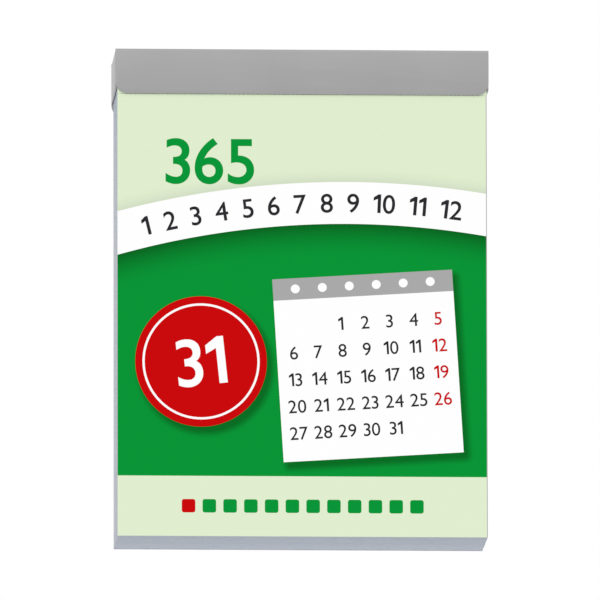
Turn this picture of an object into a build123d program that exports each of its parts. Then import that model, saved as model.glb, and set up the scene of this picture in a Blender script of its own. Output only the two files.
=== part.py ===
from build123d import *
import math
import os

# Tear off day calendar that hangs on a wall from one nail. Lengths are in millimetres.
# +X is to the right, +Y towards the wall and +Z up. The origin is the centre of the
# hanging hole, on the wall side of the header's rear flap.

# Paper and board
leaf_width = 82.0
leaf_height = 108.5
leaf_thickness = 0.052
leaf_air = 0.003
cover_thickness = 0.25
board_thickness = 1.5
days_by_month = {
    "january": 31,
    "february": 28,
    "march": 31,
    "april": 30,
    "may": 31,
    "june": 30,
    "july": 31,
    "august": 31,
    "september": 30,
    "october": 31,
    "november": 30,
    "december": 31,
}
loose_leaves = 2  # leaves that have nodes of their own, counted from the front

# Perforation that every sheet tears along, level with the front flap's edge
perforation_gap = 0.1

# Folded sheet metal header
header_gauge = 0.35
header_bend_radius = 0.6
header_side_clearance = 0.1
front_flap_height = 10.1
rear_flap_height = 12.0
end_wall_height = 9.0
flap_corner_radius = 2.7
end_seam = 0.15
hanging_hole_radius = 2.5

# Glue along the head of the block
glue_thickness = 0.3

# Wire staples
wire_diameter = 0.7
wire_bend_radius = 0.5
wire_clearance = 0.05
staple_spacing = 44.0
staple_crown = 12.0
staple_clinch = 3.6
staple_below_top = 5.2

cut_overrun = 1.0

# Heights
header_top = rear_flap_height / 2
leaf_top = header_top - header_gauge - glue_thickness
leaf_bottom = leaf_top - leaf_height
flap_edge = header_top - front_flap_height
sheet_top = flap_edge - perforation_gap
staple_height = header_top - staple_below_top

# Depths, from the wall forwards
leaf_pitch = leaf_thickness + leaf_air
leaf_count = sum(days_by_month.values())
board_rear = -header_gauge
board_front = board_rear - board_thickness
cover_rear = board_front - leaf_count * leaf_pitch
cover_front = cover_rear - cover_thickness
header_front = cover_front - header_gauge
header_depth = -header_front
header_width = leaf_width + 2 * (header_side_clearance + header_gauge)
inner_bend_radius = header_bend_radius - header_gauge
wall_rear = -header_gauge - end_seam
wall_front = header_front + header_gauge + end_seam

# A lifted sheet turns about the lower front edge of the front flap
hinge_y = header_front
hinge_z = flap_edge

# Staple wire: the crown lies in slots in the front sheets, the clinch in the board
wire_seat = wire_clearance + wire_diameter / 2
crown_depth = cover_front + wire_seat
clinch_depth = board_rear - wire_seat
slot_depth = wire_seat + wire_bend_radius + wire_clearance
slot_height = wire_diameter + 2 * wire_clearance
slotted_leaves = math.ceil((slot_depth - cover_thickness) / leaf_pitch)


def strip(low, high):
    """Outline of a sheet of the block's width, drawn in X and Z, between two heights."""
    return Pos(0, (low + high) / 2) * Rectangle(leaf_width, high - low)


def at_staples(outline):
    """An outline repeated at the middle of each staple."""
    places = Locations((-staple_spacing / 2, staple_height), (staple_spacing / 2, staple_height))
    return [place * outline for place in places.local_locations]


def leg_holes():
    """Holes that the staple legs pass through."""
    hole = Circle(slot_height / 2)
    legs = Sketch() + [Pos(side * staple_crown / 2, 0) * hole for side in (-1, 1)]
    return at_staples(legs)


def crown_slots():
    """Slots that the staple crowns are pressed into."""
    return at_staples(SlotCenterToCenter(staple_crown, slot_height))


def sheet(outline, rear, thickness):
    """Solid of an outline drawn in X and Z, from its rear face forwards."""
    return extrude(Plane.XZ.offset(-rear) * outline, amount=thickness)


def channel():
    """Front flap, top and longer rear flap of the header, over its whole width."""
    outer = Pos(header_front / 2, 0) * Rectangle(header_depth, rear_flap_height)
    outer = fillet(outer.vertices().group_by(Axis.Y)[-1], header_bend_radius)
    inner = Rectangle(header_depth - 2 * header_gauge, rear_flap_height)
    inner = Pos(header_front / 2, -header_gauge) * inner
    inner = fillet(inner.vertices().group_by(Axis.Y)[-1], inner_bend_radius)
    spare = rear_flap_height - front_flap_height
    below_front = Pos(header_front, flap_edge - spare / 2) * Rectangle(4 * header_gauge, spare)
    profile = Pos(0, header_top - rear_flap_height / 2) * (outer - inner) - below_front
    return extrude(Plane.YZ * profile, amount=header_width / 2, both=True)


def flap_corners(folded):
    """Edges at the four lower corners of the two flaps."""
    half = header_gauge / 2
    levels = (flap_edge, header_top - rear_flap_height)
    ends = folded.edges().filter_by(Axis.Y)
    ends = ends.filter_by(lambda edge: abs(edge.center().X) > header_width / 2 - half)
    return ends.filter_by(lambda edge: min(abs(edge.center().Z - z) for z in levels) < half)


def end_wall():
    """Right end wall with its bend, folded down from the top between the flaps."""
    reach = 2 * header_bend_radius
    middle = Pos((header_width - reach) / 2, header_top - end_wall_height / 2)
    outer = middle * Rectangle(reach, end_wall_height)
    inner = Pos(-header_gauge, -header_gauge) * outer
    outer = fillet(outer.vertices().sort_by(lambda v: v.X + v.Y)[-1], header_bend_radius)
    inner = fillet(inner.vertices().sort_by(lambda v: v.X + v.Y)[-1], inner_bend_radius)
    return sheet(outer - inner, wall_rear, wall_rear - wall_front)


def end_notch():
    """Space in the top that the right end wall's bend takes up."""
    reach = 2 * header_bend_radius
    high = Pos((header_width - reach) / 2, header_top - header_gauge / 2)
    return sheet(high * Rectangle(reach, header_gauge), wall_rear, wall_rear - wall_front)


def header_cap():
    """Header folded from one blank: top, front flap, longer rear flap and two end walls."""
    cap = channel()
    cap = fillet(flap_corners(cap), flap_corner_radius)
    cap = cap - end_notch() - mirror(end_notch(), about=Plane.YZ)
    cap = cap + end_wall() + mirror(end_wall(), about=Plane.YZ)
    hole = Rot(90, 0, 0) * Cylinder(hanging_hole_radius, header_gauge + 2 * cut_overrun)
    return cap - Pos(0, -header_gauge / 2, 0) * hole


def back_board():
    """Board behind the leaves, with the nail's hole and grooves for the clinched legs."""
    board = sheet(strip(leaf_bottom, leaf_top) - leg_holes(), board_rear, board_thickness)
    nail = Rot(90, 0, 0) * Cylinder(hanging_hole_radius, board_thickness + 2 * cut_overrun)
    board = board - Pos(0, (board_rear + board_front) / 2, 0) * nail
    grooves = Sketch() + crown_slots()
    return board - sheet(grooves, board_rear + cut_overrun, slot_depth + cut_overrun)


def staple(x):
    """Wire staple around the head of the block, its legs clinched towards each other."""
    half = staple_crown / 2
    clinch_end = half - staple_clinch
    route = [
        (x - clinch_end, clinch_depth, staple_height),
        (x - half, clinch_depth, staple_height),
        (x - half, crown_depth, staple_height),
        (x + half, crown_depth, staple_height),
        (x + half, clinch_depth, staple_height),
        (x + clinch_end, clinch_depth, staple_height),
    ]
    path = FilletPolyline(*route, radius=wire_bend_radius)
    start = Plane(origin=path @ 0, z_dir=path % 0)
    return sweep(start * Circle(wire_diameter / 2), path=path)


def glue_film():
    """Glue along the head, drawn in from the header's bends."""
    width = leaf_width - 2 * inner_bend_radius
    depth = board_rear - cover_front - 2 * inner_bend_radius
    y = (board_rear + cover_front) / 2
    return Pos(0, y, leaf_top + glue_thickness / 2) * Box(width, depth, glue_thickness)


def leaf_rear(index):
    """Depth of the rear face of a leaf, counted from 0 at the front."""
    return cover_rear + (index + 1) * leaf_pitch


def month_leaves(first, last):
    """Leaves that still hang whole, stub and sheet in one, from first up to last."""
    whole = strip(leaf_bottom, leaf_top)
    plain = sheet(whole - leg_holes(), 0, leaf_thickness)
    slotted = sheet(whole - crown_slots(), 0, leaf_thickness)
    leaves = []
    for index in range(first, last):
        pattern = slotted if index < slotted_leaves else plain
        leaves.append(Pos(0, leaf_rear(index), 0) * pattern)
    return leaves


def block_nodes():
    """Every node's solids, by name."""
    stub = strip(flap_edge, leaf_top) - crown_slots()
    torn = strip(leaf_bottom, sheet_top)
    nodes = {
        "header_cap": [header_cap()],
        "back_board": [back_board()],
        "staple_left": [staple(-staple_spacing / 2)],
        "staple_right": [staple(staple_spacing / 2)],
        "spine_glue": [glue_film()],
        "cover_stub": [sheet(stub, cover_rear, cover_thickness)],
        "cover_sheet": [sheet(torn, cover_rear, cover_thickness)],
    }
    for index in range(loose_leaves):
        nodes[f"leaf_{index + 1}_stub"] = [sheet(stub, leaf_rear(index), leaf_thickness)]
        nodes[f"leaf_{index + 1}"] = [sheet(torn, leaf_rear(index), leaf_thickness)]
    first = loose_leaves
    end = 0
    for month, days in days_by_month.items():
        end += days
        nodes[f"leaves_{month}"] = month_leaves(first, end)
        first = end
    return nodes


os.makedirs("parts", exist_ok=True)
for name, solids in block_nodes().items():
    shape = solids[0] if len(solids) == 1 else Compound(solids)
    export_step(shape, f"parts/{name}.step")
print("hinge axis at Y", round(hinge_y, 4), "Z", round(hinge_z, 4))
print("header front at Y", round(header_front, 4), "leaf bottom at Z", round(leaf_bottom, 4))
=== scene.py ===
"""Looks of a tear off day calendar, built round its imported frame.

Lengths are metres in the frame's own axes: +X to the right, +Y towards the wall and +Z up.
Artwork is laid out in millimetres on a page whose x runs to the right from its middle and
whose y runs up from the front flap's lower edge, so everything printed has a negative y.
"""

import logging
import math
from dataclasses import dataclass, field, replace
from enum import Enum
from functools import lru_cache

import bmesh
import bpy
import numpy as np
from mathutils import Matrix, Vector
from mathutils.geometry import delaunay_2d_cdt

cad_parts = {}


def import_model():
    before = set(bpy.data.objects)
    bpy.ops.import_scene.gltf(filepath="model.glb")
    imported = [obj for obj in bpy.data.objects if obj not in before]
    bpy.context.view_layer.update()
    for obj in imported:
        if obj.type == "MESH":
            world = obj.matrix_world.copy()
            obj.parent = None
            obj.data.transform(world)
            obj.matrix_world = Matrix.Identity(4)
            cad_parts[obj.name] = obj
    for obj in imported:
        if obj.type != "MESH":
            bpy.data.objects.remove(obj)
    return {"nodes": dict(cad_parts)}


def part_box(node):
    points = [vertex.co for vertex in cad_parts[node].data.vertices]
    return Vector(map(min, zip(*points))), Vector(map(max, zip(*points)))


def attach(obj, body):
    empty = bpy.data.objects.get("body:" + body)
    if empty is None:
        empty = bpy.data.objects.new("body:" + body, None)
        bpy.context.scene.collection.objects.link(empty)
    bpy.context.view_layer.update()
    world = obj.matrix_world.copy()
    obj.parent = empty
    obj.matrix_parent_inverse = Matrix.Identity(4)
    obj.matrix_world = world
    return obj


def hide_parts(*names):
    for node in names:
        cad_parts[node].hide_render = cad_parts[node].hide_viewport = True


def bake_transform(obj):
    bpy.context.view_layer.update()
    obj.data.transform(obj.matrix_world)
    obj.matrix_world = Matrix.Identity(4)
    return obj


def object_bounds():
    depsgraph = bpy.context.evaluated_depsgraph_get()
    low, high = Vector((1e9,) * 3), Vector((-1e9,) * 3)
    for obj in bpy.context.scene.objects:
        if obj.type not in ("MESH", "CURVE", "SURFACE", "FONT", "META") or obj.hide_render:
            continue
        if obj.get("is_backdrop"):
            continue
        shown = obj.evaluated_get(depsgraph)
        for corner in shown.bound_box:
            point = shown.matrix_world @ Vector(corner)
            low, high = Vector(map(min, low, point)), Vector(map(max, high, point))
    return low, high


LOG = logging.getLogger("calendar")
MM = 0.001
REST = "rest_place"
NOISE_RANGE = (0.3, 0.7)  # nearly all of a noise's values lie in it
WHITE = (1.0, 1.0, 1.0)
Array = np.ndarray
Pair = tuple[float, float]
Triple = tuple[float, float, float]
Colour = Triple
Material = bpy.types.Material
Piece = bpy.types.Object
Source = bpy.types.Node | bpy.types.NodeSocket
Inputs = dict[str | int, Source | Colour | float]


def linear(red: float, green: float, blue: float) -> Colour:
    """Linear colour of three display levels from 0 to 255, by the sRGB curve."""
    level = np.array([red, green, blue]) / 255
    return tuple(np.where(level <= 0.04045, level / 12.92, ((level + 0.055) / 1.055) ** 2.4))


class Ink(Enum):
    """What a patch of a printed sheet is covered with."""

    PAPER = "paper"
    PALE = "pale_green"
    GREEN = "green"
    BRIGHT = "bright_green"
    WHITE = "white"
    GREY = "grey"
    DARK = "dark"
    RED = "red"
    FAINT = "faint_grey"
    COVER_BACK = "cover_back"


@dataclass(frozen=True)
class Shade:
    """One step on an ink's way to its deepest tone, counted from 0."""

    ink: Ink
    step: int


Tint = Ink | Shade


@dataclass(frozen=True)
class Fade:
    """How an ink darkens beside the ribbon: to what tone, in how many steps and how far off."""

    ink: Ink
    deep: Colour
    steps: int
    reach: float
    power: float

    def distance(self, step: int) -> float:
        """How far off a step begins, where its depth is (1 - distance / reach) ** power."""
        return self.reach * (1 - (step / self.steps) ** (1 / self.power))


class Nodes:
    """The node tree of a material or a world, built up from nothing."""

    def __init__(self, owner: Material | bpy.types.World) -> None:
        """Empties the owner's tree.

        Args:
            owner: the material or world.
        """
        owner.use_nodes = True
        self.tree = owner.node_tree
        self.tree.nodes.clear()

    def add(self, kind: str, inputs: Inputs | None = None, **values: str) -> bpy.types.Node:
        """Adds a node.

        Args:
            kind: the node's type.
            inputs: a constant or a source for each input; a node stands for its first output.
            values: the node's own properties.

        Returns:
            The new node.
        """
        node = self.tree.nodes.new(kind)
        for name, value in values.items():
            setattr(node, name, value)
        for key, value in (inputs or {}).items():
            source = value.outputs[0] if isinstance(value, bpy.types.Node) else value
            target = node.inputs[key]
            if isinstance(source, bpy.types.NodeSocket):
                self.tree.links.new(source, target)
            else:
                target.default_value = (*source, 1.0) if target.type == "RGBA" else source
        return node


class Shading(Nodes):
    """The node tree of a material: its patterns, then one Principled shader."""

    def __init__(self, name: str, pinned: bool = False) -> None:
        """Starts a material.

        Args:
            name: the material's name.
            pinned: whether patterns stay with a sheet that bends, by its rest places.
        """
        self.material = bpy.data.materials.new(name)
        super().__init__(self.material)
        if pinned:
            self.place = self.add("ShaderNodeAttribute", attribute_name=REST).outputs["Vector"]
        else:
            self.place = self.add("ShaderNodeTexCoord").outputs["Object"]

    def noise(self, scale: Triple, detail: float) -> Source:
        """Noise from 0 to 1, by its features per metre along each axis and its octaves."""
        place = self.add("ShaderNodeMapping", {"Vector": self.place, "Scale": scale})
        return self.add("ShaderNodeTexNoise", {"Vector": place, "Scale": 1.0, "Detail": detail})

    def span(self, source: Source, reach: Pair, target: Pair) -> Source:
        """A value carried from one range to another, held at its ends."""
        limits = zip(("From Min", "From Max", "To Min", "To Max"), reach + target)
        return self.add("ShaderNodeMapRange", {"Value": source, **dict(limits)})

    def layer(
        self, source: Source, reach: Pair, most: float, under: Colour | Source, over: Colour
    ) -> Source:
        """One colour over another, from not at all to the most given, by a value's range."""
        inputs = {0: self.span(source, reach, (0.0, most)), 6: under, 7: over}
        return self.add("ShaderNodeMix", inputs, data_type="RGBA").outputs[2]

    def relief(self, height: Source, rise: float, strength: float) -> Source:
        """Bump by a height from 0 to 1, its full rise in metres and how much of it shows."""
        inputs = {"Height": height, "Distance": rise, "Strength": strength}
        return self.add("ShaderNodeBump", inputs)

    def finished(self, inputs: Inputs) -> Material:
        """Adds the Principled shader.

        Args:
            inputs: what it takes.

        Returns:
            The material.
        """
        shader = self.add("ShaderNodeBsdfPrincipled", inputs)
        self.add("ShaderNodeOutputMaterial", {"Surface": shader})
        return self.material


@dataclass(frozen=True)
class Finish:
    """A finish's name and its plain tone."""

    name: str
    tone: Colour

    def shade(self, factor: float) -> Colour:
        """The tone made darker or paler by a factor."""
        return tuple(min(1.0, level * factor) for level in self.tone)


@dataclass(frozen=True)
class PrintedPaper(Finish):
    """Paper, bare or inked: even in colour, as print is, with fibre that breaks up its gloss."""

    roughness: float = 0.5
    gloss: float = 0.04
    pinned: bool = True
    fibre: Triple = (2600.0, 2600.0, 1500.0)
    detail: float = 2.0
    uneven: float = 0.06
    rise: float = 0.00001
    strength: float = 0.35

    def toned(self, number: int, tone: Colour) -> "PrintedPaper":
        """The same paper in another tone, with a number after its name."""
        return replace(self, name=f"{self.name}_{number:02d}", tone=tone)

    def material(self) -> Material:
        """Makes the material; where it is pinned, its fibre bends with the sheet.

        Returns:
            The material.
        """
        book = Shading(self.name, self.pinned)
        fibre = book.noise(self.fibre, self.detail)
        rough = (self.roughness - self.uneven, self.roughness + self.uneven)
        return book.finished({
            "Base Color": self.tone,
            "Roughness": book.span(fibre, NOISE_RANGE, rough),
            "Specular IOR Level": self.gloss,
            "Normal": book.relief(fibre, self.rise, self.strength),
        })


@dataclass(frozen=True)
class CutEdges:
    """Guillotined edges of stacked paper: a tone for each leaf, and the knife's marks across."""

    # The plain blue-grey edge tone is painted shade: white paper edges darkened as by the gaps
    # between the sheets.
    paper: PrintedPaper = PrintedPaper(
        "leaf_edge_painted_shade", linear(174, 181, 193), 0.9, 0.05, False, (1400.0, 60.0, 1400.0),
        rise=0.00002, strength=0.5
    )
    darkest: float = 0.84
    lightest: float = 1.34
    count: int = 14
    paler: float = 1.16
    grain: float = 0.06
    bands: float = 0.035
    knots: int = 7

    def materials(self) -> list[Material]:
        """The materials, from the darkest to the lightest."""
        tones = [self.paper.shade(f) for f in np.linspace(self.darkest, self.lightest, self.count)]
        return [self.paper.toned(number, tone).material() for number, tone in enumerate(tones, 1)]

    def choice(self, chance: np.random.Generator, depth: Array) -> Array:
        """Which tone each leaf of a pack takes.

        A leaf's factor rises evenly with its depth in the block, and varies by a slow band,
        drawn straight between random knots, and by a random grain of its own.

        Args:
            chance: the pack's random numbers.
            depth: each leaf's depth, from 0 at the cover to 1 at the board.

        Returns:
            One index for each leaf.
        """
        places = np.linspace(0, self.knots - 1, len(depth))
        slow = np.interp(places, np.arange(self.knots), chance.normal(0, self.bands, self.knots))
        varied = 1 + slow + chance.normal(0, self.grain, len(depth))
        factor = (1 + (self.paler - 1) * depth) * varied
        share = (factor - self.darkest) / (self.lightest - self.darkest)
        return np.clip(np.rint(share * (self.count - 1)), 0, self.count - 1).astype(int)


@dataclass(frozen=True)
class Pattern:
    """Noise that lays a shade of a finish's tone, given as a factor, over what is under it.

    Its scale is its features per metre along each axis and its detail its octaves. From one
    end of its reach to the other, the shade comes up from nothing to its share.
    """

    scale: Triple
    detail: float
    shade: float
    reach: Pair = NOISE_RANGE
    share: float = 1.0


@dataclass(frozen=True)
class LayeredFinish(Finish):
    """A ground, as a factor of the tone, with patterns over it; one is also felt as relief."""

    ground: float
    patterns: tuple[Pattern, ...]
    felt: int
    roughness: Pair
    metallic: float = 0.0
    gloss: float = 0.5
    rise: float = 0.0
    strength: float = 0.5

    def material(self) -> Material:
        """Makes the material.

        Returns:
            The material.
        """
        book, tone = Shading(self.name), self.shade(self.ground)
        values = [book.noise(pattern.scale, pattern.detail) for pattern in self.patterns]
        for value, pattern in zip(values, self.patterns):
            over = self.shade(pattern.shade)
            tone = book.layer(value, pattern.reach, pattern.share, tone, over)
        felt = values[self.felt]
        return book.finished({
            "Base Color": tone,
            "Roughness": book.span(felt, NOISE_RANGE, self.roughness),
            "Metallic": self.metallic,
            "Specular IOR Level": self.gloss,
            "Normal": book.relief(felt, self.rise, self.strength),
        })


# Grey lacquer on rolled sheet metal: soft cloudiness, and a faint pale grain along X
LACQUER = LayeredFinish(
    "header_grey", linear(159, 159, 159), ground=0.965, felt=1, roughness=(0.34, 0.44),
    metallic=0.25, gloss=0.45, rise=0.000004, strength=0.3,
    patterns=(
        Pattern((45.0, 45.0, 45.0), 3.0, 1.035),
        Pattern((40.0, 3000.0, 3000.0), 2.0, 1.06, (0.52, 0.75), 0.5),
    ),
)
# Board of recycled pulp: mottled grey with short pale fibres and dark flecks
BOARD = LayeredFinish(
    "board_grey", linear(178, 182, 190), ground=0.9, felt=1, roughness=(0.92, 0.92),
    gloss=0.15, rise=0.00003,
    patterns=(
        Pattern((220.0, 220.0, 220.0), 5.0, 1.08),
        Pattern((700.0, 700.0, 2400.0), 3.0, 1.35, (0.6, 0.72), 0.6),
        Pattern((1500.0, 1500.0, 1500.0), 1.0, 0.45, (0.68, 0.74), 0.7),
    ),
)
# Zinc coated wire, with a fine dark grain
WIRE = LayeredFinish(
    "staple_wire", linear(190, 190, 188), ground=0.8, felt=0, roughness=(0.28, 0.45),
    metallic=0.9, patterns=(Pattern((3000.0, 3000.0, 9000.0), 2.0, 1.0, (0.0, 1.0)),),
)
# Dried padding glue: a milky film with brush marks along X
GLUE = LayeredFinish(
    "head_glue", linear(226, 222, 205), ground=0.85, felt=0, roughness=(0.42, 0.42),
    rise=0.00004, strength=0.6,
    patterns=(Pattern((120.0, 1500.0, 1500.0), 3.0, 1.0, (0.0, 1.0)),),
)


def turned(points: Array, degrees: float) -> Array:
    """Points turned anticlockwise about the origin."""
    c, s = math.cos(math.radians(degrees)), math.sin(math.radians(degrees))
    return points @ np.array([[c, s], [-s, c]])


def on_circle(angles: Array, radius: float) -> Array:
    """Points of a circle about the origin, at angles in radians."""
    return np.stack([np.cos(angles), np.sin(angles)], axis=-1) * radius


def closed(corners: Array) -> Array:
    """Segments of a closed outline, one row of two points each, from its corners in order."""
    return np.stack([corners, np.roll(corners, -1, axis=0)], axis=1)


@dataclass(frozen=True)
class Lettering:
    """The height of plain numerals, and how much thicker their strokes are, as a share of it."""

    height: float
    weight: float = 0.0


@dataclass
class Artwork:
    """One side of a sheet: closed outlines in millimetres, filled with inks on a ground.

    A later outline lies over an earlier one.
    """

    ground: Ink
    fills: list[tuple[Tint, Array]] = field(default_factory=list)
    big_corner: float = 1.0
    corner_steps: tuple[int, int] = (7, 19)
    big_digit: float = 8.0
    curve_steps: tuple[int, int] = (6, 20)
    disc_steps: tuple[tuple[float, int], ...] = ((0.5, 8), (1.45, 24), (2.0, 32), (5.0, 48))
    most_steps: int = 96

    def polygon(self, ink: Tint, points: Array) -> None:
        """Fills one closed outline, given by its corners in order."""
        self.fills.append((ink, closed(points)))

    def box(
        self, ink: Tint, middle: Pair, size: Pair, turn: float = 0.0, corner: float = 0.0
    ) -> None:
        """Fills a rectangle, turned about its middle, with round corners if asked.

        Args:
            ink: what it is filled with.
            middle: its middle.
            size: its width and height.
            turn: its turn in degrees, anticlockwise.
            corner: the radius of its corners.
        """
        points = np.array([(1, 1), (-1, 1), (-1, -1), (1, -1)]) * (np.array(size) / 2 - corner)
        if corner > 0:
            steps = self.corner_steps[corner >= self.big_corner]
            angles = np.linspace(0, math.pi / 2, steps) + np.arange(4)[:, None] * math.pi / 2
            points = (points[:, None] + on_circle(angles, corner)).reshape(-1, 2)
        self.polygon(ink, turned(points, turn) + middle)

    def disc(self, ink: Ink, middle: Pair, radius: float) -> None:
        """Fills a circle, as a polygon with more steps the larger it is.

        Args:
            ink: what it is filled with.
            middle: its middle.
            radius: its radius.
        """
        steps = next((n for most, n in self.disc_steps if radius < most), self.most_steps)
        angles = np.linspace(0, 2 * math.pi, steps, endpoint=False)
        self.polygon(ink, on_circle(angles, radius) + middle)

    def number(
        self, ink: Ink, text: str, middle: Pair, style: Lettering, turn: float = 0.0,
        mirrored: bool = False
    ) -> None:
        """Fills plain numerals, centred on a point.

        Args:
            ink: what they are filled with.
            text: the digits.
            middle: the middle of the word.
            style: their height and weight.
            turn: their turn in degrees, anticlockwise.
            mirrored: whether they read from behind.
        """
        steps = self.curve_steps[style.height >= self.big_digit]
        segments = numeral_outline(text, style.weight, steps) * style.height
        segments *= (-1.0 if mirrored else 1.0, 1.0)
        flat = turned(segments.reshape(-1, 2), turn) + middle
        self.fills.append((ink, flat.reshape(-1, 2, 2)))

    def segments(self) -> Array:
        """Every outline's segments, one row of two points each."""
        return np.concatenate([np.zeros((0, 2, 2))] + [outline for _, outline in self.fills])

    def slots(self, middles: Array, order: list[Tint]) -> Array:
        """Slot of each triangle, by the last outline that holds its middle.

        Args:
            middles: the triangles' middles.
            order: the inks in the order of their slots.

        Returns:
            One slot number for each triangle.
        """
        slots = np.full(len(middles), order.index(self.ground))
        for ink, outline in self.fills:
            slots[inside(middles, outline)] = order.index(ink)
        return slots


def one_outline(weight: float) -> Array:
    """Outline segments of a plain figure one with a flag, from its foot at 0 to its top at 1.

    Args:
        weight: how much the strokes are thickened, as a share of the height.

    Returns:
        One row of two points for each segment.
    """
    stem, flag, drop = 0.15 + 2 * weight, 0.22, 0.17
    thick, notch, shoulder = stem * 1.05, stem * 1.05 * 1.35, stem * 0.2
    return closed(np.array([
        (0, 0), (stem, 0), (stem, 1), (shoulder, 1),
        (-flag, 1 - drop), (-flag, 1 - drop - thick), (0, 1 - notch),
    ], float))


@lru_cache(maxsize=None)
def glyph(character: str, weight: float, steps: int) -> Array:
    """Outline segments of one character of the plain font.

    The outline is every edge that only one face of the flat character has.

    Args:
        character: a digit or a mark.
        weight: how much the strokes are thickened, as a share of the font's size.
        steps: how many segments each curve is cut into.

    Returns:
        One row of two points for each segment, in the font's own size.
    """
    curve = bpy.data.curves.new("numeral", "FONT")
    curve.body, curve.resolution_u, curve.offset = character, steps, weight
    holder = bpy.data.objects.new("numeral", curve)
    mesh = bpy.data.meshes.new_from_object(holder)
    points = np.zeros(len(mesh.vertices) * 3)
    mesh.vertices.foreach_get("co", points)
    loops = np.zeros(len(mesh.loops), int)
    mesh.loops.foreach_get("edge_index", loops)
    edges = np.zeros(len(mesh.edges) * 2, int)
    mesh.edges.foreach_get("vertices", edges)
    single = np.bincount(loops, minlength=len(mesh.edges)) == 1
    outline = points.reshape(-1, 3)[:, :2][edges.reshape(-1, 2)[single]]
    bpy.data.meshes.remove(mesh)
    bpy.data.objects.remove(holder)
    bpy.data.curves.remove(curve)
    return outline


def numeral_outline(text: str, weight: float, steps: int = 6) -> Array:
    """Outline segments of a row of plain numerals, a unit high and centred.

    Each character starts an even gap after the one before.

    Args:
        text: the digits and marks.
        weight: how much the strokes are thickened, as a share of the height.
        steps: how many segments each curve of a digit is cut into.

    Returns:
        One row of two points for each segment.
    """
    gap, space = 0.1, 0.2
    tall = np.ptp(glyph("8", 0.0, steps)[:, :, 1])
    pen, parts = 0.0, []
    for character in text:
        if character == " ":
            pen += space
            continue
        outline = one_outline(weight)
        if character != "1":
            outline = glyph(character, weight * tall, steps) / tall
        left, right = outline[:, :, 0].min(), outline[:, :, 0].max()
        parts.append(outline + (pen - left, -0.5))
        pen += right - left + gap
    row = np.concatenate(parts)
    return row - ((row[:, :, 0].min() + row[:, :, 0].max()) / 2, 0.0)


def inside(points: Array, segments: Array) -> Array:
    """Which points lie inside closed outlines, by counting crossings to the right of each.

    Args:
        points: one row for each point.
        segments: one row of two points for each segment.

    Returns:
        True for each point inside.
    """
    low, high = segments.reshape(-1, 2).min(axis=0), segments.reshape(-1, 2).max(axis=0)
    near = np.flatnonzero(((points >= low) & (points <= high)).all(axis=1))
    px, py = points[near, 0][:, None], points[near, 1][:, None]
    ax, ay = segments[:, 0, 0], segments[:, 0, 1]
    bx, by = segments[:, 1, 0], segments[:, 1, 1]
    rise = np.where(by == ay, 1.0, by - ay)
    crosses = ((ay > py) != (by > py)) & (px < ax + (py - ay) * (bx - ax) / rise)
    result = np.zeros(len(points), bool)
    result[near] = crosses.sum(axis=1) % 2 == 1
    return result


def divided(outline: Array, columns: Array, rows: Array) -> Array:
    """Segments of straight lines across a page.

    Args:
        outline: the page's corners.
        columns: where the upright lines lie in x.
        rows: where the level lines lie in y.

    Returns:
        One row of two points for each line.
    """
    low, high = outline.min(axis=0), outline.max(axis=0)
    upright = [[(x, low[1]), (x, high[1])] for x in columns]
    level = [[(low[0], y), (high[0], y)] for y in rows]
    return np.array(upright + level)


def triangulated(outline: Array, segments: Array, tolerance: float = 1e-4) -> tuple[Array, Array]:
    """Triangles that fill an outline and follow every segment in it.

    Args:
        outline: the page's corners in order.
        segments: lines that triangle edges must follow.
        tolerance: how close two points may come before they are one.

    Returns:
        The points that they use, and three indices for each triangle, anticlockwise.
    """
    border = closed(outline)
    ends = np.concatenate([border, segments]).reshape(-1, 2).tolist()
    edges = np.arange(len(ends)).reshape(-1, 2).tolist()
    made = delaunay_2d_cdt([Vector(end) for end in ends], edges, [], 0, tolerance, False)
    points, triangles = np.array([tuple(v) for v in made[0]]), np.array(made[2])
    triangles = triangles[inside(points[triangles].mean(axis=1), border)]
    used, places = np.unique(triangles, return_inverse=True)
    points, triangles = points[used], places.reshape(-1, 3)
    a, b, c = (points[triangles[:, k]] for k in range(3))
    area = (b[:, 0] - a[:, 0]) * (c[:, 1] - a[:, 1]) - (b[:, 1] - a[:, 1]) * (c[:, 0] - a[:, 0])
    triangles[area < 0] = triangles[area < 0][:, ::-1]
    return points, triangles


def new_piece(
    name: str, points: Array, faces: list[list[int]], slots: Array | int, materials: list[Material]
) -> Piece:
    """A flat shaded mesh object at the origin, with only the materials that its faces wear.

    Args:
        name: the piece's name.
        points: one row for each vertex.
        faces: index lists, one for each face.
        slots: which of the materials each face wears, or all of them.
        materials: the materials to choose from.

    Returns:
        The object, linked to the scene.
    """
    mesh = bpy.data.meshes.new(name)
    mesh.from_pydata(points.tolist(), [], faces)
    used, worn = np.unique(np.broadcast_to(slots, len(faces)), return_inverse=True)
    for slot in used:
        mesh.materials.append(materials[slot])
    mesh.polygons.foreach_set("material_index", worn.astype(np.int32))
    mesh.update()
    piece = bpy.data.objects.new(name, mesh)
    bpy.context.scene.collection.objects.link(piece)
    return piece


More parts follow.
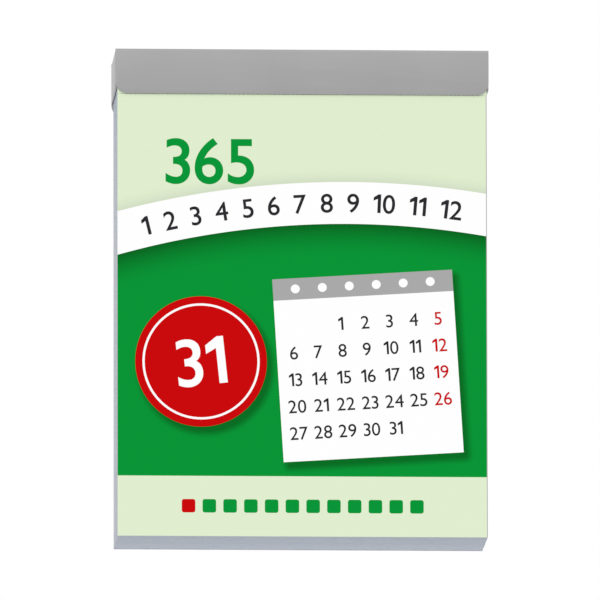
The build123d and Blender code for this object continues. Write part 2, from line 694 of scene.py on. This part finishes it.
class Block:
    """The calendar's own sizes, in metres."""

    def __init__(self) -> None:
        """Reads the sizes from the boxes of the frame's nodes."""
        cover, stub, leaf = (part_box(name) for name in ("cover_sheet", "cover_stub", "leaf_1"))
        self.left, self.right, self.bottom = cover[0].x, cover[1].x, cover[0].z
        self.page_zero, self.leaf_top, self.sheet_top = stub[0].z, stub[1].z, cover[1].z
        self.cover_front, self.cover_rear = cover[0].y, cover[1].y
        self.leaf_front, self.leaf_thickness = leaf[0].y, leaf[1].y - leaf[0].y
        self.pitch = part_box("leaf_2")[0].y - leaf[0].y
        self.board_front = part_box("back_board")[0].y

    def page(self, tooth: float, pitch: float, steps: int = 6) -> Array:
        """Outline of a torn off sheet on the page, in millimetres.

        The top edge is a row of teeth, a sine of the given height and pitch, as a
        perforation leaves it.

        Args:
            tooth: the height of a tooth.
            pitch: the distance between teeth.
            steps: how many segments a tooth is cut into.

        Returns:
            The corners in order, anticlockwise.
        """
        left, right = self.left / MM, self.right / MM
        low = (self.bottom - self.page_zero) / MM
        top = (self.sheet_top - self.page_zero) / MM
        x = np.linspace(right, left, round((right - left) / pitch) * steps + 1)
        y = top + tooth * (0.5 - 0.5 * np.cos(2 * math.pi * (x - left) / pitch))
        y[[0, -1]] = top
        return np.concatenate([[(left, low), (right, low)], np.stack([x, y], axis=-1)])


@dataclass(frozen=True)
class Curl:
    """How far a sheet stands forward, in millimetres: more towards its foot and its sides."""

    middle: float = 0.05
    sides: float = 0.07
    length: float = 99.0
    half_width: float = 41.0

    def height(self, x: Array, y: Array) -> Array:
        """Metres forward: (middle + sides * (x / half_width)**2) * (-y / length)**3 of a mm."""
        down = np.clip(-y / self.length, 0, 1)
        return (self.middle + self.sides * (x / self.half_width) ** 2) * down**3 * MM


FLAT = Curl(middle=0.0, sides=0.0)


@dataclass
class PrintedSheet:
    """One sheet of paper, printed on its front and back, as a closed solid with a faint curl."""

    name: str
    front: float
    thickness: float
    sides: tuple[Artwork, Artwork]
    curl: Curl
    tooth: Pair = (0.09, 1.0)
    fold_rows: float = 5.2
    row_step: float = 0.2
    cell: float = 6.0
    sharp: float = 60.0

    def page(self, block: Block) -> tuple[Array, Array]:
        """Triangles of the flat page, cut by the print and by a grid that lets it bend.

        Args:
            block: the calendar's sizes.

        Returns:
            The points in millimetres, and three indices for each triangle.
        """
        outline = block.page(*self.tooth)
        low, high = outline.min(axis=0), outline.max(axis=0)
        fold = high[1] - self.fold_rows
        close = np.arange(high[1] - self.row_step, fold, -self.row_step)
        wide = np.arange(fold, low[1] + self.cell / 2, -self.cell)
        columns = np.arange(low[0] + self.cell, high[0] - self.cell / 2, self.cell)
        lines = divided(outline, columns, np.concatenate([close, wide]))
        printed = [artwork.segments() for artwork in self.sides]
        return triangulated(outline, np.concatenate([lines, *printed]))

    def build(self, block: Block, inks: dict[Tint, Material], edge: Material) -> Piece:
        """Builds the sheet: both faces share their triangles, and a rim closes them.

        A point of the front lies at the sheet's depth less the curl's height there, and the
        back lies one thickness behind it. The rim stands on the edges that one triangle has.

        Args:
            block: the calendar's sizes.
            inks: the material of each ink.
            edge: the material of the cut edge.

        Returns:
            The sheet's object.
        """
        flat, triangles = self.page(block)
        x, z = flat[:, 0] * MM, block.page_zero + flat[:, 1] * MM
        face = np.stack([x, self.front - self.curl.height(*flat.T), z], axis=-1)
        points = np.concatenate([face, face + (0.0, self.thickness, 0.0)])
        count = len(face)
        pairs = triangles[:, [0, 1, 1, 2, 2, 0]].reshape(-1, 2)
        keys = np.sort(pairs, axis=1) @ (count, 1)
        _, first, seen = np.unique(keys, return_index=True, return_counts=True)
        rim = pairs[first[seen == 1]]
        quads = np.stack([rim[:, 1], rim[:, 0], rim[:, 0] + count, rim[:, 1] + count], axis=-1)
        faces = triangles.tolist() + (triangles[:, ::-1] + count).tolist() + quads.tolist()
        middles = flat[triangles].mean(axis=1)
        slots = [artwork.slots(middles, list(inks)) for artwork in self.sides]
        slots = np.concatenate([*slots, np.full(len(quads), len(inks))])
        piece = new_piece(self.name, points, faces, slots, [*inks.values(), edge])
        rounded = np.repeat([True, False], [2 * len(triangles), len(quads)])
        piece.data.polygons.foreach_set("use_smooth", rounded)
        piece.data.set_sharp_from_angle(angle=math.radians(self.sharp))
        rest = piece.data.attributes.new(REST, "FLOAT_VECTOR", "POINT")
        rest.data.foreach_set("vector", points.ravel())
        return piece


@dataclass
class LeafPack:
    """A month of day leaves, each a thin closed box with slightly uneven cut edges."""

    name: str
    rear: float
    count: int
    seed: int
    levels: tuple[float, ...] = (0.0, 0.08, 0.38, 1.0)
    uneven: float = 0.0015
    drift: float = 0.03
    waves: Triple = (7.0, 9.5, 8.2)

    def build(
        self, block: Block, face: Material, edges: CutEdges, tones: list[Material]
    ) -> Piece:
        """Builds every leaf of the pack at once, as rings of four corners at its levels.

        A leaf's x is its share of the width plus an edge offset, and its z its share of the
        height plus a bottom offset. The offsets are a random step for each leaf plus a slow
        sine of its depth behind the cover, and both fade to nothing at the head.

        Args:
            block: the calendar's sizes.
            face: the paper's face.
            edges: how the leaves' edges vary.
            tones: the materials of the cut edges.

        Returns:
            The pack's object.
        """
        chance = np.random.default_rng(self.seed)
        step = chance.normal(0, self.uneven, (self.count, 3))
        number = np.arange(self.count)
        depth = (self.rear - block.cover_rear - number * block.pitch) / MM
        slow = np.sin(2 * math.pi * depth[:, None] / np.array(self.waves))
        offset = (step + self.drift * slow) * MM
        left, right, low = (offset[:, k][:, None, None] for k in range(3))
        side, down = np.meshgrid([-1.0, 1.0, 1.0, -1.0], self.levels)
        fade = np.clip((down - self.levels[1]) / (self.levels[2] - self.levels[1]), 0, 1)
        x = side * (block.right - block.left) / 2 + np.where(side < 0, left, right) * fade
        near = np.array([1, 1, 0, 0])
        y = self.rear - number[:, None, None] * block.pitch - near * block.leaf_thickness
        z = block.leaf_top + (block.bottom - block.leaf_top) * down + low * fade * down
        points = np.stack(np.broadcast_arrays(x, y, z), axis=-1).reshape(-1, 3)
        quads, cut = self.faces()
        faces = (quads + number[:, None, None] * side.size).reshape(-1, 4)
        whole = (block.board_front - block.cover_rear) / MM
        slots = cut * (edges.choice(chance, depth / whole)[:, None] + 1)
        return new_piece(self.name, points, faces.tolist(), slots.ravel(), [face, *tones])

    def faces(self) -> tuple[Array, Array]:
        """Quads of one leaf: four sides between its rings, then its head and its foot.

        Returns:
            Four indices for each quad, and 1 for each that is a cut edge, else 0.
        """
        ring = np.arange(4 * len(self.levels)).reshape(-1, 4)
        after = np.roll(ring, -1, axis=1)
        tube = np.stack([ring[:-1], ring[1:], after[1:], after[:-1]], axis=-1).reshape(-1, 4)
        cut = np.append(np.tile([0, 1], len(tube) // 2), [1, 1])
        return np.concatenate([tube, [ring[0], ring[-1, ::-1]]]), cut


@dataclass
class Header:
    """The folded header: the frame's own shape with its sheared edges eased."""

    ease: float = 0.00005
    weld: float = 0.00001
    clean: float = 0.000001
    level: float = 0.5
    sharp: float = 50.0
    bend_height: float = 0.0007
    flat_area: float = 0.00002

    def build(self, node: Piece) -> Piece:
        """Copies the frame's header, joins its triangles and rounds its edges below the bends.

        Args:
            node: the frame's header.

        Returns:
            The header's object.
        """
        shape = bmesh.new()
        shape.from_mesh(node.data)
        bmesh.ops.remove_doubles(shape, verts=shape.verts, dist=self.weld)
        bmesh.ops.dissolve_limit(
            shape, angle_limit=math.radians(self.level), verts=shape.verts, edges=shape.edges
        )
        bend = max(vertex.co.z for vertex in shape.verts) - self.bend_height
        sheared = [
            edge for edge in shape.edges
            if edge.calc_face_angle(0.0) > math.radians(self.sharp)
            and (edge.verts[0].co.z + edge.verts[1].co.z) / 2 < bend
        ]
        bmesh.ops.bevel(
            shape, geom=sheared, offset=self.ease, segments=2, profile=0.5,
            affect="EDGES", clamp_overlap=False
        )
        bmesh.ops.remove_doubles(shape, verts=shape.verts, dist=self.clean)
        shape.verts.index_update()
        points = np.array([vertex.co for vertex in shape.verts])
        faces = [[vertex.index for vertex in face.verts] for face in shape.faces]
        areas = np.array([face.calc_area() for face in shape.faces])
        shape.free()
        piece = new_piece("header", points, faces, 0, [LACQUER.material()])
        piece.data.polygons.foreach_set("use_smooth", areas < self.flat_area)
        piece.data.set_sharp_from_angle(angle=math.radians(self.sharp))
        return piece


@dataclass
class CoverArt(Artwork):
    """The cover's front: an arched ribbon over a green field, a month card and a disc."""

    ground: Ink = Ink.PALE
    half_width: float = 41.0
    foot: float = -85.6
    arc_centre: Pair = (10.0, -213.0)
    arc_radius: float = 184.0
    ribbon: float = 9.4
    below: Fade = Fade(Ink.GREEN, linear(0, 96, 26), 20, 8.0, 1.8)
    above: Fade = Fade(Ink.PALE, linear(209, 221, 195), 10, 3.1, 1.4)
    # A thin grey line of painted shade down the cover's right cut edge, which the light leaves
    # dark.
    trim: Pair = (0.18, 100.0)
    total_at: Pair = (-20.5, -15.0)
    total: Lettering = Lettering(10.0, 0.016)
    months: Lettering = Lettering(4.2, 0.012)
    months_reach: float = 35.5
    card_at: Pair = (14.5, -60.8)
    card_size: Pair = (40.0, 41.0)
    card_turn: float = 3.5
    card_head: float = 4.8
    holes: int = 6
    holes_reach: float = 15.0
    hole: float = 1.0
    days: Lettering = Lettering(2.9, 0.006)
    days_top: float = 9.8
    days_step: Pair = (5.4, 6.0)
    days_blank: int = 2
    disc_at: Pair = (-22.5, -60.0)
    disc_radius: float = 14.6
    disc_ring: Pair = (1.6, 2.1)
    date: Lettering = Lettering(10.5, 0.012)
    date_turn: float = 6.0
    shadow_depth: float = 0.85
    shadow_spread: float = 2.2
    shadow_inset: float = 0.6
    shadow_shift: Pair = (0.95, -1.25)
    squares_reach: float = 25.3
    squares_y: float = -92.3
    square: float = 3.0
    square_corner: float = 0.5

    def __post_init__(self) -> None:
        """Draws the outlines, from the lowest up; the painted shade line of the right edge runs
        off the sheet's foot.
        """
        edge, outer = self.half_width, self.arc_radius + self.ribbon
        under, feet = self.arc(self.arc_radius, 1), [(edge, self.foot), (-edge, self.foot)]
        self.beside_ribbon(self.above, outer, 1)
        self.number(Ink.BRIGHT, "365", self.total_at, self.total)
        self.polygon(Ink.GREEN, np.concatenate([under, feet]))
        self.beside_ribbon(self.below, self.arc_radius, -1)
        self.cast_shadows()
        self.polygon(Ink.WHITE, np.concatenate([under, self.arc(outer, -1)]))
        self.ribbon_numbers()
        self.month_card()
        self.dated_disc()
        self.month_squares()
        # Painted shade: a thin grey line down the cover's right cut edge.
        self.box(Ink.GREY, (edge - self.trim[0] / 2, -self.trim[1] / 2), self.trim)

    def arc(self, radius: float, way: int, steps: int = 72) -> Array:
        """Points of an arc about the ribbon's centre, across the page.

        Args:
            radius: its radius.
            way: 1 from left to right, -1 from right to left.
            steps: how many points it has.

        Returns:
            One row for each point.
        """
        x = np.linspace(-way * self.half_width, way * self.half_width, steps)
        y = self.arc_centre[1] + np.sqrt(radius**2 - (x - self.arc_centre[0]) ** 2)
        return np.stack([x, y], axis=-1)

    def beside_ribbon(self, fade: Fade, radius: float, way: int) -> None:
        """Draws an ink's fade away from one of the ribbon's arcs; the deepest step lies on top.

        Args:
            fade: the ink and how it darkens.
            radius: the radius of the arc.
            way: 1 for outwards, -1 for inwards.
        """
        for step in range(fade.steps):
            far = self.arc(radius + way * fade.distance(step), -1)
            self.polygon(Shade(fade.ink, step), np.concatenate([self.arc(radius, 1), far]))

    def cast_shadows(self) -> None:
        """Draws the printed shadows of the card and the disc on the green, in steps.

        At the distance d a shadow's depth is its full depth times 1 - smoothstep(d / spread),
        and where that has a given value y follows from smoothstep's inverse,
        0.5 - sin(asin(1 - 2 y) / 3).
        """
        for step in range(math.ceil(self.shadow_depth * self.below.steps)):
            y = 1 - step / self.below.steps / self.shadow_depth
            spread = self.shadow_spread * (0.5 - math.sin(math.asin(1 - 2 * y) / 3))
            inset = self.shadow_inset
            for middle, half, corner, turn in (
                (self.card_at, np.array(self.card_size) / 2 - inset, 0.0, self.card_turn),
                (self.disc_at, np.zeros(2), self.disc_radius - inset, 0.0),
            ):
                place, size = np.array(middle) + self.shadow_shift, 2 * (half + corner + spread)
                self.box(Shade(Ink.GREEN, step), place, size, turn, corner + spread)

    def ribbon_numbers(self) -> None:
        """Draws the months' numbers along the ribbon, square to it, with even gaps between."""
        style, reach = self.months, self.months_reach
        names = [str(month) for month in range(1, 13)]
        widths = [np.ptp(numeral_outline(name, style.weight)[:, :, 0]) for name in names]
        widths = np.array(widths) * style.height
        gap = (2 * reach - widths.sum()) / (len(widths) - 1)
        starts = np.concatenate([[0.0], np.cumsum(widths + gap)[:-1]]) - reach
        radius = self.arc_radius + self.ribbon / 2
        for name, x in zip(names, starts + widths / 2):
            lean = math.asin((x - self.arc_centre[0]) / radius)
            place = (x, self.arc_centre[1] + radius * math.cos(lean))
            self.number(Ink.DARK, name, place, style, -math.degrees(lean))

    def on_card(self, x: float, y: float) -> Array:
        """A place on the card, carried to the page."""
        return turned(np.array([[x, y]]), self.card_turn)[0] + self.card_at

    def month_card(self) -> None:
        """Draws a white month card with a grey head and its days in rows of seven."""
        turn, (width, height), (across, down) = self.card_turn, self.card_size, self.days_step
        top = height / 2 - self.card_head / 2
        self.box(Ink.WHITE, self.card_at, self.card_size, turn)
        self.box(Ink.GREY, self.on_card(0.0, top), (width, self.card_head), turn)
        for x in np.linspace(-self.holes_reach, self.holes_reach, self.holes):
            self.disc(Ink.WHITE, self.on_card(x, top), self.hole)
        for day in range(1, 32):
            row, column = divmod(day - 1 + self.days_blank, 7)
            place = self.on_card((column - 3) * across, self.days_top - row * down)
            self.number(Ink.RED if column == 6 else Ink.DARK, str(day), place, self.days, turn)

    def dated_disc(self) -> None:
        """Draws a red disc with a white ring and a plain number."""
        for ink, inset in zip((Ink.RED, Ink.WHITE, Ink.RED), (0.0, *self.disc_ring)):
            self.disc(ink, self.disc_at, self.disc_radius - inset)
        self.number(Ink.WHITE, "31", self.disc_at, self.date, self.date_turn)

    def month_squares(self) -> None:
        """Draws twelve small squares along the foot, the first one red."""
        for month, x in enumerate(np.linspace(-self.squares_reach, self.squares_reach, 12)):
            ink, size = Ink.BRIGHT if month else Ink.RED, (self.square, self.square)
            self.box(ink, (x, self.squares_y), size, corner=self.square_corner)


@dataclass
class DayFront(Artwork):
    """A day leaf's front: its number, month and week, and the sun's and moon's times."""

    ground: Ink = Ink.PAPER
    day: int = 1
    times: tuple[str, str] = ("8:26", "16:02")
    month: int = 1
    year_days: int = 365
    count_at: Pair = (-27.5, -11.6)
    count: Lettering = Lettering(3.2)
    month_at: Pair = (33.5, -10.6)
    month_style: Lettering = Lettering(6.2, 0.008)
    rule: Pair = (35.0, -17.5)
    rule_dots: int = 51
    rule_dot: float = 0.3
    week_at: Pair = (-34.3, -23.6)
    week_style: Lettering = Lettering(3.6)
    day_at: Pair = (0.0, -48.5)
    day_style: Lettering = Lettering(38.0, 0.014)
    foot: float = -81.0
    times_x: Pair = (-16.5, 27.5)
    time_style: Lettering = Lettering(3.4)
    sun_x: float = -27.5
    sun_disc: float = 1.5
    rays: int = 8
    ray_x: float = 2.55
    ray: Pair = (1.0, 0.34)
    moon_x: float = 16.0
    moon_disc: float = 2.4
    bite: Pair = (1.1, 0.7)
    bite_disc: float = 2.05
    week: Pair = (15.0, -91.5)
    today: float = 1.4
    other_day: float = 0.9

    def __post_init__(self) -> None:
        """Draws the outlines; the week's dots stand at the foot, today's larger and red."""
        self.number(Ink.DARK, f"{self.day} / {self.year_days}", self.count_at, self.count)
        self.number(Ink.DARK, str(self.month), self.month_at, self.month_style)
        for x in np.linspace(-self.rule[0], self.rule[0], self.rule_dots):
            self.disc(Ink.DARK, (x, self.rule[1]), self.rule_dot)
        self.number(Ink.DARK, "1", self.week_at, self.week_style)
        self.number(Ink.DARK, str(self.day), self.day_at, self.day_style)
        self.sun()
        self.moon()
        for x, time in zip(self.times_x, self.times):
            self.number(Ink.DARK, time, (x, self.foot), self.time_style)
        for column, x in enumerate(np.linspace(-self.week[0], self.week[0], 7)):
            today = column == (self.day + 3) % 7
            ink, radius = (Ink.RED, self.today) if today else (Ink.FAINT, self.other_day)
            self.disc(ink, (x, self.week[1]), radius)

    def sun(self) -> None:
        """Draws a small sun with its rays."""
        self.disc(Ink.DARK, (self.sun_x, self.foot), self.sun_disc)
        for degrees in np.arange(self.rays) * 360.0 / self.rays:
            place = turned(np.array([[self.ray_x, 0.0]]), degrees)[0] + (self.sun_x, self.foot)
            self.box(Ink.DARK, place, self.ray, degrees)

    def moon(self) -> None:
        """Draws a small crescent, a disc with a bite of paper."""
        self.disc(Ink.DARK, (self.moon_x, self.foot), self.moon_disc)
        bite = (self.moon_x + self.bite[0], self.foot + self.bite[1])
        self.disc(Ink.PAPER, bite, self.bite_disc)


@dataclass
class DayBack(Artwork):
    """A day leaf's back: a square grid with some numbers, mirrored to be read from behind."""

    ground: Ink = Ink.PAPER
    day: int = 1
    cells: int = 9
    cell: float = 6.6
    middle: float = -50.0
    thick: float = 0.5
    thin: float = 0.18
    style: Lettering = Lettering(3.6)
    seed: int = 40
    in_row: int = 4

    def __post_init__(self) -> None:
        """Draws the lines, every third one thick, and the numbers of random cells in a row."""
        half = self.cells * self.cell / 2
        length = 2 * half + self.thick
        for line in range(self.cells + 1):
            at = -half + line * self.cell
            width = self.thin if line % 3 else self.thick
            self.box(Ink.DARK, (at, self.middle), (width, length))
            self.box(Ink.DARK, (0.0, self.middle + at), (length, width))
        chance = np.random.default_rng(self.seed + self.day)
        for row in range(self.cells):
            y = self.middle + half - (row + 0.5) * self.cell
            for column in sorted(chance.choice(self.cells, self.in_row, replace=False)):
                digit = (row * 3 + row // 3 + column) % self.cells + 1
                place = (half - (column + 0.5) * self.cell, y)
                self.number(Ink.DARK, str(digit), place, self.style, mirrored=True)


@dataclass
class Palette:
    """Every ink and paper finish, made once and shared by the sheets."""

    cover: CoverArt
    papers: tuple[tuple[Ink, PrintedPaper], ...] = (
        (Ink.PAPER, PrintedPaper("leaf_face", linear(240, 240, 238), 0.8, 0.15)),
        (Ink.PALE, PrintedPaper("cover_pale_green", linear(223, 237, 206))),
        (Ink.GREEN, PrintedPaper("cover_green", linear(0, 147, 52))),
        (Ink.BRIGHT, PrintedPaper("cover_bright_green", linear(0, 147, 54))),
        (Ink.WHITE, PrintedPaper("cover_white", linear(253, 253, 253))),
        (Ink.GREY, PrintedPaper("cover_grey", linear(168, 168, 168))),
        (Ink.DARK, PrintedPaper("dark_ink", linear(40, 40, 44))),
        (Ink.RED, PrintedPaper("red_ink", linear(200, 0, 3))),
        (Ink.FAINT, PrintedPaper("faint_ink", linear(176, 180, 186), 0.7)),
        (Ink.COVER_BACK, PrintedPaper("cover_back", linear(236, 236, 232), 0.75)),
    )
    edges: CutEdges = CutEdges()

    def __post_init__(self) -> None:
        """Makes the materials; a fade's step has the tone of its middle."""
        papers = dict(self.papers)
        self.inks = {ink: paper.material() for ink, paper in self.papers}
        for fade in (self.cover.below, self.cover.above):
            paper = papers[fade.ink]
            plain = np.array(paper.tone)
            for step in range(fade.steps):
                tone = plain + (fade.deep - plain) * (step + 0.5) / fade.steps
                self.inks[Shade(fade.ink, step)] = paper.toned(step + 1, tuple(tone)).material()
        self.edge_tones = self.edges.materials()
        # The middle edge tone, painted shade and all, also rims the loose leaves.
        self.edge = self.edge_tones[len(self.edge_tones) // 2]
        self.cover_edge = PrintedPaper("cover_edge", linear(205, 208, 205), 0.8).material()
        self.stock = replace(papers[Ink.PAPER], name="leaf_stock", pinned=False).material()
        self.card = replace(papers[Ink.PALE], name="cover_stock", pinned=False).material()


def settle(piece: Piece, slot: str, *nodes: str) -> None:
    """Lets a piece stand for nodes of the frame by hiding them, and logs its faces.

    Args:
        piece: the piece.
        slot: the slot's name; not used.
        nodes: the names of the nodes.
    """
    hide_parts(*nodes)
    LOG.info("%s: %d faces", piece.name, len(piece.data.polygons))


@dataclass
class LooseSheets:
    """The cover and the two leaves in front, which lift and tear, and the leaf they uncover."""

    block: Block
    palette: Palette
    fold: float = 0.0045
    times: tuple[tuple[str, str], ...] = (("8:26", "16:02"), ("8:26", "16:03"), ("8:25", "16:04"))

    def build(self) -> None:
        """Builds the four sheets; the first leaf follows its body and the uncovered leaf the
        block.
        """
        cover, first, second, third = self.cover(), *(self.leaf(day) for day in (1, 2, 3))
        settle(cover, "cover_paper", "cover_sheet")
        settle(first, "leaf_paper", "leaf_1")
        settle(second, "leaf_paper", "leaf_2")
        settle(third, "leaf_paper", "leaves_january")
        self.bend(cover, "leaf_2", "cover")
        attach(first, "leaf_1")
        self.bend(second, "block", "leaf_2")
        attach(third, "block")

    def bend(self, sheet: Piece, still: str, moving: str) -> None:
        """Bakes a sheet's transform into its mesh."""
        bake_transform(sheet)

    def cover(self) -> Piece:
        """Builds the printed cover.

        Returns:
            The cover's object.
        """
        front, rear = self.block.cover_front, self.block.cover_rear
        sides = (self.palette.cover, Artwork(Ink.COVER_BACK))
        sheet = PrintedSheet("cover_print", front, rear - front, sides, Curl())
        return sheet.build(self.block, self.palette.inks, self.palette.cover_edge)

    def leaf(self, day: int) -> Piece:
        """Builds one printed day leaf.

        Args:
            day: the day it is for, from 1.

        Returns:
            The leaf's object.
        """
        block, sides = self.block, (DayFront(day=day, times=self.times[day - 1]), DayBack(day=day))
        front = block.leaf_front + (day - 1) * block.pitch
        sheet = PrintedSheet(f"leaf_{day}_print", front, block.leaf_thickness, sides, FLAT)
        return sheet.build(block, self.palette.inks, self.palette.edge)


@dataclass
class MonthPacks:
    """The leaves behind, a pack for each month of the frame."""

    block: Block
    palette: Palette
    printed: str = "leaves_january"

    def build(self, names: list[str]) -> None:
        """Builds each pack from the front backwards; the printed leaf stands for one of its own.

        Args:
            names: the names of the frame's nodes.
        """
        block, palette = self.block, self.palette
        months = [name for name in names if name.startswith("leaves_")]
        for seed, node in enumerate(sorted(months, key=lambda name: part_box(name)[0].y)):
            near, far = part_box(node)
            count = round((far.y - near.y - block.leaf_thickness) / block.pitch) + 1
            count -= node == self.printed
            pack = LeafPack(node.replace("leaves", "pack"), far.y, count, seed)
            piece = pack.build(block, palette.stock, palette.edges, palette.edge_tones)
            settle(piece, "leaf_paper", node)
            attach(piece, "block")


def dress(nodes: dict[str, Piece], palette: Palette) -> None:
    """Gives the frame's own solids their finishes: the board and what the header hides.

    Args:
        nodes: the frame's nodes by name.
        palette: the papers.
    """
    wire = WIRE.material()
    finishes = {
        "back_board": BOARD.material(),
        "staple_left": wire,
        "staple_right": wire,
        "spine_glue": GLUE.material(),
        "leaf_1_stub": palette.stock,
        "leaf_2_stub": palette.stock,
        "cover_stub": palette.card,
    }
    for name, material in finishes.items():
        for held in nodes[name].material_slots:
            held.material = material
        LOG.info("%s: %s", name, material.name)


@dataclass(frozen=True)
class Studio:
    """A plain pale floor, soft light and the photograph's camera."""

    azimuth: float = -2.8
    elevation: float = -8.6
    roll: float = -0.1
    lens: float = 1400.0
    sensor: float = 36.0
    pixels_per_mm: float = 4.503
    image_side: float = 600.0
    clip: Pair = (0.1, 3.0)
    sky: float = 0.8
    key_origin: Triple = (-0.3, -1.0, 0.8)
    key_strength: float = 0.8
    key_spread: float = 60.0
    floor_height: float = -4.5
    floor_half: float = 6.0
    floor_lines: int = 9
    paint: PrintedPaper = PrintedPaper("floor_paint", (0.93, 0.93, 0.93), 0.8, 0.2, False)

    def build(self, centre: Vector) -> None:
        """Places the camera, the light and the floor.

        Args:
            centre: the middle of the object.
        """
        self.camera(centre)
        self.world()
        self.key()
        self.floor()
        bpy.context.scene.view_settings.view_transform = "Standard"

    def camera(self, centre: Vector) -> None:
        """Places the camera so that a millimetre at the object covers the photograph's pixels.

        Args:
            centre: the middle of the object.
        """
        data = bpy.data.cameras.new("camera")
        data.lens, data.sensor_width = self.lens, self.sensor
        a, e = math.radians(self.azimuth), math.radians(self.elevation)
        back = Vector((math.sin(a) * math.cos(e), -math.cos(a) * math.cos(e), math.sin(e)))
        distance = self.image_side / self.pixels_per_mm * MM * self.lens / self.sensor
        data.clip_start, data.clip_end = self.clip[0], self.clip[1] * distance
        turn = (-back).to_track_quat("-Z", "Y").to_matrix()
        turn = turn @ Matrix.Rotation(math.radians(self.roll), 3, "Z")
        view = bpy.data.objects.new("camera", data)
        view.matrix_world = Matrix.Translation(centre + back * distance) @ turn.to_4x4()
        bpy.context.scene.collection.objects.link(view)
        bpy.context.scene.camera = view

    def key(self) -> None:
        """Adds a broad soft light from above the camera's left."""
        data = bpy.data.lights.new("key", "SUN")
        data.energy, data.angle = self.key_strength, math.radians(self.key_spread)
        lamp = bpy.data.objects.new("key", data)
        lamp.rotation_euler = Vector(self.key_origin).to_track_quat("Z", "Y").to_euler()
        bpy.context.scene.collection.objects.link(lamp)

    def world(self) -> None:
        """Makes white behind the object and in reflections, and an even pale light on it."""
        world = bpy.data.worlds.new("studio")
        bpy.context.scene.world = world
        nodes = Nodes(world)
        light, white = (
            nodes.add("ShaderNodeBackground", {"Color": WHITE, "Strength": strength})
            for strength in (self.sky, 1.0)
        )
        path = nodes.add("ShaderNodeLightPath").outputs
        seen = path["Is Camera Ray"]
        for ray in ("Is Glossy Ray", "Is Transmission Ray"):
            seen = nodes.add("ShaderNodeMath", {0: seen, 1: path[ray]}, operation="MAXIMUM")
        mix = nodes.add("ShaderNodeMixShader", {0: seen, 1: light, 2: white})
        nodes.add("ShaderNodeOutputWorld", {"Surface": mix})

    def floor(self) -> None:
        """Adds a pale floor well below the object, a square grid."""
        steps = np.linspace(-self.floor_half, self.floor_half, self.floor_lines)
        x, y = np.meshgrid(steps, steps)
        points = np.stack([x.ravel(), y.ravel(), np.full(x.size, self.floor_height)], axis=-1)
        index = np.arange(x.size).reshape(x.shape)
        corners = [index[:-1, :-1], index[:-1, 1:], index[1:, 1:], index[1:, :-1]]
        quads = np.stack(corners, axis=-1).reshape(-1, 4).tolist()
        new_piece("floor", points, quads, 0, [self.paint.material()])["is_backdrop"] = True


def main() -> None:
    """Builds the calendar's pieces in order, then the studio."""
    logging.basicConfig(level=logging.INFO, format="%(name)s: %(message)s")
    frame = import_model()
    low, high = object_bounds()
    block = Block()
    palette = Palette(CoverArt())

    header = Header().build(frame["nodes"]["header_cap"])
    settle(header, "header_sheet", "header_cap")
    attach(header, "block")
    LooseSheets(block, palette).build()
    MonthPacks(block, palette).build(list(frame["nodes"]))
    dress(frame["nodes"], palette)
    Studio().build((low + high) / 2)

    low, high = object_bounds()


if __name__ == "__main__":
    main()
